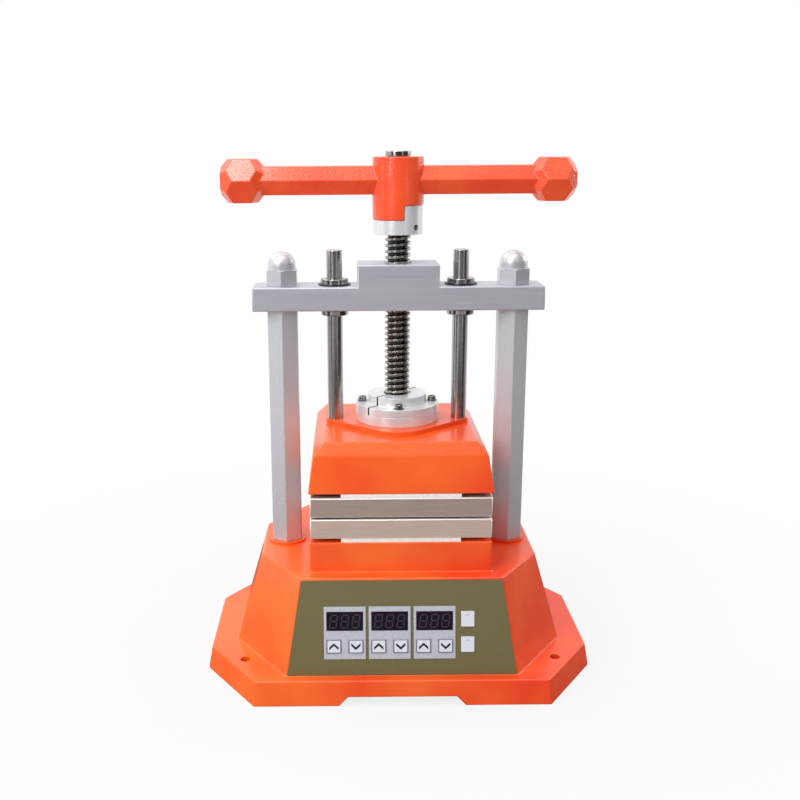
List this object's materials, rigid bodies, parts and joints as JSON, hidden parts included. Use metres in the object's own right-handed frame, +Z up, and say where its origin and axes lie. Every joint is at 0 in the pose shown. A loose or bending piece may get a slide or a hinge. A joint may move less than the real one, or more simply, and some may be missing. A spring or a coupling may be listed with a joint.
{
  "type": "heated screw press",
  "caption": "Bench screw press with a T handle, two guided columns and two heated platens that cure rubber moulds, on a tapered cast base with a temperature and time panel.",
  "frame": {"origin": "centre of the base's outline on the floor, under the lead screw's axis", "axes": "+Z up along the lead screw, control panel facing -Y, handle and crossbeam along X"},
  "size_m": [0.398, 0.272, 0.5263],
  "materials": {
    "orange_paint": "glossy hammered enamel on cast iron",
    "column_steel": "satin",
    "beam_steel": "ground",
    "bright_steel": "polished",
    "fastener_steel": "zinc plated",
    "turned_steel": "fine turned",
    "screw_steel": "oiled, machined thread",
    "nut_bronze": "turned",
    "sheet_steel": "zinc plated sheet",
    "platen_aluminium": "brushed",
    "insulation": "matte fibre board",
    "overlay_film": "matte film",
    "display_plate": "matte film",
    "display_window": "dark red tinted window",
    "arrow_key": "matte",
    "function_key": "matte",
    "circuit": "laminate",
    "post_brass": "turned",
    "black_plastic": "moulded",
    "rocker_plastic": "moulded"
  },
  "bodies": {
    "frame": {"base_casting": "orange_paint", "bottom_cover": "sheet_steel", "bottom_cover_screws": "fastener_steel", "left_column": "column_steel", "right_column": "column_steel", "column_foot_nuts": "fastener_steel", "cap_nuts": "bright_steel", "crossbeam": "beam_steel", "lead_screw_nut": "nut_bronze", "guide_bearings": "turned_steel", "bearing_snap_rings": "fastener_steel", "lower_insulation_board": "insulation", "lower_heater": "sheet_steel", "lower_platen": "platen_aluminium", "lower_platen_screws": "fastener_steel", "lower_temperature_probe": "fastener_steel", "panel_overlay": "overlay_film", "display_plates": "display_plate", "display_modules": "display_window", "control_board": "circuit", "control_board_posts": "post_brass", "relay_board": "circuit", "relay_board_posts": "post_brass", "service_plate": "sheet_steel", "service_plate_screws": "fastener_steel", "power_inlet": "black_plastic", "switch_housing": "black_plastic", "base_cable_gland": "black_plastic"},
    "head": {"head_casting": "orange_paint", "head_closing_plate": "sheet_steel", "upper_insulation_board": "insulation", "upper_heater": "sheet_steel", "upper_platen": "platen_aluminium", "upper_platen_screws": "fastener_steel", "upper_temperature_probe": "fastener_steel", "left_guide_rod": "bright_steel", "right_guide_rod": "bright_steel", "guide_rod_nuts": "fastener_steel", "thrust_base_ring": "turned_steel", "thrust_washer": "turned_steel", "thrust_ball_cage": "turned_steel", "thrust_collar_front": "turned_steel", "thrust_collar_rear": "turned_steel", "collar_screws": "fastener_steel", "head_cable_gland": "black_plastic"},
    "screw": {"lead_screw": "screw_steel", "clutch_sleeve": "turned_steel", "sleeve_pin": "fastener_steel", "handle_retainer": "turned_steel", "retainer_screw": "fastener_steel"},
    "handle": {"t_handle": "orange_paint"},
    "key_up_1": {"key_up_1": "arrow_key"},
    "key_down_1": {"key_down_1": "arrow_key"},
    "key_up_2": {"key_up_2": "arrow_key"},
    "key_down_2": {"key_down_2": "arrow_key"},
    "key_up_3": {"key_up_3": "arrow_key"},
    "key_down_3": {"key_down_3": "arrow_key"},
    "function_key_1": {"function_key_1": "function_key"},
    "function_key_2": {"function_key_2": "function_key"},
    "switch_rocker": {"power_switch_rocker": "rocker_plastic"}
  },
  "joints": [
    {"name": "head_lift", "type": "slide", "parent": "frame", "child": "head", "axis": [0, 0, 1], "range_m": [-0.0018, 0.08]},
    {"name": "screw_turn", "type": "hinge", "parent": "head", "child": "screw", "pos_m": [0, 0, 0.2775], "axis": [0, 0, 1], "range_deg": [-110, 4810]},
    {"name": "handle_play", "type": "hinge", "parent": "screw", "child": "handle", "pos_m": [0, 0, 0.4985], "axis": [0, 0, 1], "range_deg": [-78, 0]},
    {"name": "press_key_up_1", "type": "slide", "parent": "frame", "child": "key_up_1", "axis": [0, 0.9864, -0.1644], "range_m": [0, 0.0005], "stiffness_N_per_m": 1000, "springref_m": -0.0005},
    {"name": "press_key_down_1", "type": "slide", "parent": "frame", "child": "key_down_1", "axis": [0, 0.9864, -0.1644], "range_m": [0, 0.0005], "stiffness_N_per_m": 1000, "springref_m": -0.0005},
    {"name": "press_key_up_2", "type": "slide", "parent": "frame", "child": "key_up_2", "axis": [0, 0.9864, -0.1644], "range_m": [0, 0.0005], "stiffness_N_per_m": 1000, "springref_m": -0.0005},
    {"name": "press_key_down_2", "type": "slide", "parent": "frame", "child": "key_down_2", "axis": [0, 0.9864, -0.1644], "range_m": [0, 0.0005], "stiffness_N_per_m": 1000, "springref_m": -0.0005},
    {"name": "press_key_up_3", "type": "slide", "parent": "frame", "child": "key_up_3", "axis": [0, 0.9864, -0.1644], "range_m": [0, 0.0005], "stiffness_N_per_m": 1000, "springref_m": -0.0005},
    {"name": "press_key_down_3", "type": "slide", "parent": "frame", "child": "key_down_3", "axis": [0, 0.9864, -0.1644], "range_m": [0, 0.0005], "stiffness_N_per_m": 1000, "springref_m": -0.0005},
    {"name": "press_function_key_1", "type": "slide", "parent": "frame", "child": "function_key_1", "axis": [0, 0.9864, -0.1644], "range_m": [0, 0.0005], "stiffness_N_per_m": 1000, "springref_m": -0.0005},
    {"name": "press_function_key_2", "type": "slide", "parent": "frame", "child": "function_key_2", "axis": [0, 0.9864, -0.1644], "range_m": [0, 0.0005], "stiffness_N_per_m": 1000, "springref_m": -0.0005},
    {"name": "switch_tilt", "type": "hinge", "parent": "frame", "child": "switch_rocker", "pos_m": [0.002, 0.11486, 0.05573], "axis": [0, -0.1644, 0.9864], "range_deg": [-20, 0]}
  ],
  "couplings": [
    {"joint": "screw_turn", "follows": "head_lift", "rad_per_m": 1047.2}
  ]
}
